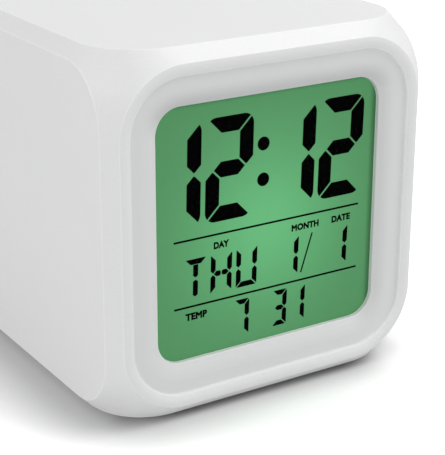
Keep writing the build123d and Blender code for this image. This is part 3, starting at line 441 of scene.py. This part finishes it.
# Behind the glass: the frosted light guide, its white reflecting film, four small lamps at its sides,
# the two layered contact strips and the white frame that presses it all against the window.
layer_scale = 300
light_guide = moulded(
    "light_guide", (0.72, 0.88, 0.76, 1), (0.66, 0.84, 0.70, 1),
    grains=1500, roughness=0.35, depth=0.00001, Alpha=0.85,
)
dress(light_guide, "light_guide")
white_film = moulded(
    "white_film", (0.86, 0.86, 0.86, 1), (0.80, 0.80, 0.80, 1),
    grains=1200, roughness=0.3, depth=0.000005,
)
dress(white_film, "reflector")
lamp_body = moulded(
    "lamp_body", (0.80, 0.74, 0.45, 1), (0.84, 0.80, 0.60, 1),
    grains=2500, roughness=0.3, depth=0.00001,
)
dress(lamp_body, "edge_lights")
frame_plastic = moulded(
    "frame_plastic", (0.72, 0.72, 0.70, 1), (0.68, 0.68, 0.66, 1),
    grains=2200, roughness=0.5, depth=0.00002,
)
dress(frame_plastic, "display_frame")


def stripe_node(tree, axis, scale):
    """Soft stripes that follow each other along an axis, from 0 to 1."""
    node = tree.nodes.new("ShaderNodeTexWave")
    node.bands_direction = axis
    set_inputs(node, Scale=scale)
    tree.links.new(object_place(tree), node.inputs["Vector"])
    return node.outputs["Fac"]


strip_rubber, tree, shader = new_material("contact_rubber")
layers = stripe_node(tree, "Y", layer_scale)
stripes = mix_colours(tree, layers, (0.05, 0.05, 0.055, 1), (0.42, 0.42, 0.44, 1))
tree.links.new(stripes, shader.inputs["Base Color"])
set_inputs(shader, Roughness=0.75)
dress(strip_rubber, "contact_strips")

# Both circuit boards: glass fibre under green solder mask, with copper tracks that show through it
# as lighter lines and a faint weave.
track_fields = 220
tracks_per_field = 6
track_width = 0.45
track_relief = 0.00003
weave_scale = 1800
board_mask, tree, shader = new_material("solder_mask")
place = object_place(tree)
fields = tree.nodes.new("ShaderNodeTexVoronoi")
fields.distance = "CHEBYCHEV"
fields.feature = "F2"
set_inputs(fields, Scale=track_fields)
tree.links.new(place, fields.inputs["Vector"])
steps = math_node(tree, "MULTIPLY", fields.outputs["Distance"], tracks_per_field)
tracks = math_node(tree, "LESS_THAN", math_node(tree, "FRACT", steps, 0), track_width)
weave = noise_node(tree, place, weave_scale)
mask_colour = mix_colours(tree, weave, (0.010, 0.085, 0.035, 1), (0.014, 0.110, 0.045, 1))
board_colour = mix_colours(tree, tracks, mask_colour, (0.030, 0.190, 0.070, 1))
tree.links.new(board_colour, shader.inputs["Base Color"])
add_relief(tree, tracks, track_relief)
set_inputs(shader, Roughness=0.32)
dress(board_mask, "main_board", "key_board")

# What stands on the main board: four milky lamps that light the case, the black resin over the chip,
# the crystal's and the tap sensor's drawn cans, the capacitor in its sleeve and the thermistor bead.
lamp_lens = moulded(
    "lamp_lens", (0.84, 0.86, 0.88, 1), (0.88, 0.90, 0.92, 1),
    grains=800, roughness=0.15, depth=0.0, Alpha=0.8, Coat_Weight=0.5,
)
dress(lamp_lens, "case_leds")
black_resin = moulded(
    "black_resin", (0.012, 0.012, 0.013, 1), (0.02, 0.02, 0.021, 1),
    grains=500, roughness=0.22, depth=0.00005,
)
dress(black_resin, "chip_drop", "thermistor")
can_metal = moulded(
    "can_metal", (0.62, 0.62, 0.64, 1), (0.55, 0.55, 0.57, 1),
    grains=1500, roughness=0.28, depth=0.00001, Metallic=1.0,
)
dress(can_metal, "crystal", "tap_sensor")
capacitor_sleeve = moulded(
    "capacitor_sleeve", (0.015, 0.025, 0.08, 1), (0.02, 0.03, 0.1, 1),
    grains=700, roughness=0.3, depth=0.00001,
)
dress(capacitor_sleeve, "capacitor")

# Every screw: steel with a blue-white zinc plating, a little streaked. They hold the two boards and
# the rear cover.
zinc = moulded(
    "screw_steel", (0.60, 0.61, 0.63, 1), (0.50, 0.51, 0.54, 1),
    grains=2400, roughness=0.30, depth=0.00001, drifts=500, roughness_spread=0.25, Metallic=1.0,
)
dress(zinc, "board_screws", "key_board_screws", "case_screws")

# The battery door: moulded in the same milky plastic as the case, with two pivots and a snap tongue,
# and with a slightly duller skin from handling.
door_plastic = moulded(
    "door_plastic", case_colour, case_drift,
    grains=2600, roughness=0.48, depth=0.00002, drifts=45, Specular_IOR_Level=0.4,
)
dress(door_plastic, "battery_door")

# The four cells: a plain printed sleeve shrunk over a steel can, dark at the flat end and pale at the
# raised one, with bare metal at both ends.
sleeve_dark = (0.018, 0.05, 0.11, 1)
sleeve_pale = (0.52, 0.46, 0.22, 1)
sleeve_specks = 2500
speck_colour = (0.3, 0.3, 0.3, 1)
speck_share = 0.2
pale_start = 0.0105
cell_steel = (0.66, 0.66, 0.67, 1)
cell_smoothest = 0.22
cell_spread = 0.1
end_limit = 0.75


def cell_sleeve(name, side):
    """A cell's finish, with its raised end towards side."""
    material, tree, shader = new_material(name)
    place = object_place(tree)
    toward = math_node(tree, "MULTIPLY", split_axes(tree, place)["X"], side)
    pale = math_node(tree, "GREATER_THAN", toward, pale_start)
    sleeve = mix_colours(tree, pale, sleeve_dark, sleeve_pale)
    speck = noise_node(tree, place, sleeve_specks)
    specked = mix_colours(tree, math_node(tree, "MULTIPLY", speck, speck_share), sleeve, speck_colour)
    normal = tree.nodes.new("ShaderNodeTexCoord").outputs["Normal"]
    end_on = math_node(tree, "ABSOLUTE", split_axes(tree, normal)["X"], 0)
    bare = math_node(tree, "GREATER_THAN", end_on, end_limit)
    tree.links.new(mix_colours(tree, bare, specked, cell_steel), shader.inputs["Base Color"])
    tree.links.new(bare, shader.inputs["Metallic"])
    rough = math_node(tree, "ADD", math_node(tree, "MULTIPLY", speck, cell_spread), cell_smoothest)
    tree.links.new(rough, shader.inputs["Roughness"])
    return material


sleeve_right = cell_sleeve("cell_sleeve_right", 1)
sleeve_left = cell_sleeve("cell_sleeve_left", -1)
dress(sleeve_right, "aaa_cell_1", "aaa_cell_3")
dress(sleeve_left, "aaa_cell_2", "aaa_cell_4")

# The battery contacts: plates stamped from spring steel and springs wound from its wire, all nickel
# plated. They stand at both ends of the battery well.
nickel = moulded(
    "contact_metal", (0.70, 0.69, 0.66, 1), (0.60, 0.59, 0.56, 1),
    grains=3000, roughness=0.2, depth=0.000005, drifts=300, roughness_spread=0.15, Metallic=1.0,
)
dress(
    nickel, "contact_bridge_left", "contact_bridge_low", "contact_bridge_high",
    "terminal_negative", "terminal_positive", "battery_springs",
)

# The controls: four white push buttons and the light switch's knob in satin plastic, over black
# switch bodies and plungers on the key board.
buttons = ["set", "mode", "down", "up"]
control_plastic = moulded(
    "control_plastic", (0.74, 0.74, 0.745, 1), (0.70, 0.70, 0.705, 1),
    grains=3200, roughness=0.38, depth=0.000015, Specular_IOR_Level=0.45,
)
dress(control_plastic, "light_switch_knob", *(f"{name}_button" for name in buttons))
switch_plastic = moulded(
    "switch_plastic", (0.022, 0.022, 0.024, 1), (0.03, 0.03, 0.032, 1),
    grains=2800, roughness=0.45, depth=0.00002,
)
dress(switch_plastic, "tact_switches", "switch_body", "buzzer", *(f"{name}_plunger" for name in buttons))

# The ribbon and the leads, in soft vinyl: the ribbon is a flat row of strands between the two boards,
# and the red and the black lead come from the cells.
strand_scale = 250
strand_relief = 0.0002
ribbon_vinyl, tree, shader = new_material("ribbon_vinyl")
strands = stripe_node(tree, "X", strand_scale)
ribbon_colour = mix_colours(tree, strands, (0.24, 0.24, 0.25, 1), (0.38, 0.38, 0.40, 1))
tree.links.new(ribbon_colour, shader.inputs["Base Color"])
add_relief(tree, strands, strand_relief)
set_inputs(shader, Roughness=0.5)
dress(ribbon_vinyl, "ribbon_cable")
red_vinyl = moulded(
    "red_vinyl", (0.42, 0.012, 0.012, 1), (0.36, 0.01, 0.01, 1),
    grains=900, roughness=0.35, depth=0.00001,
)
dress(red_vinyl, "red_lead")
black_vinyl = moulded(
    "black_vinyl", (0.012, 0.012, 0.013, 1), (0.02, 0.02, 0.02, 1),
    grains=900, roughness=0.35, depth=0.00001,
)
dress(black_vinyl, "black_lead")
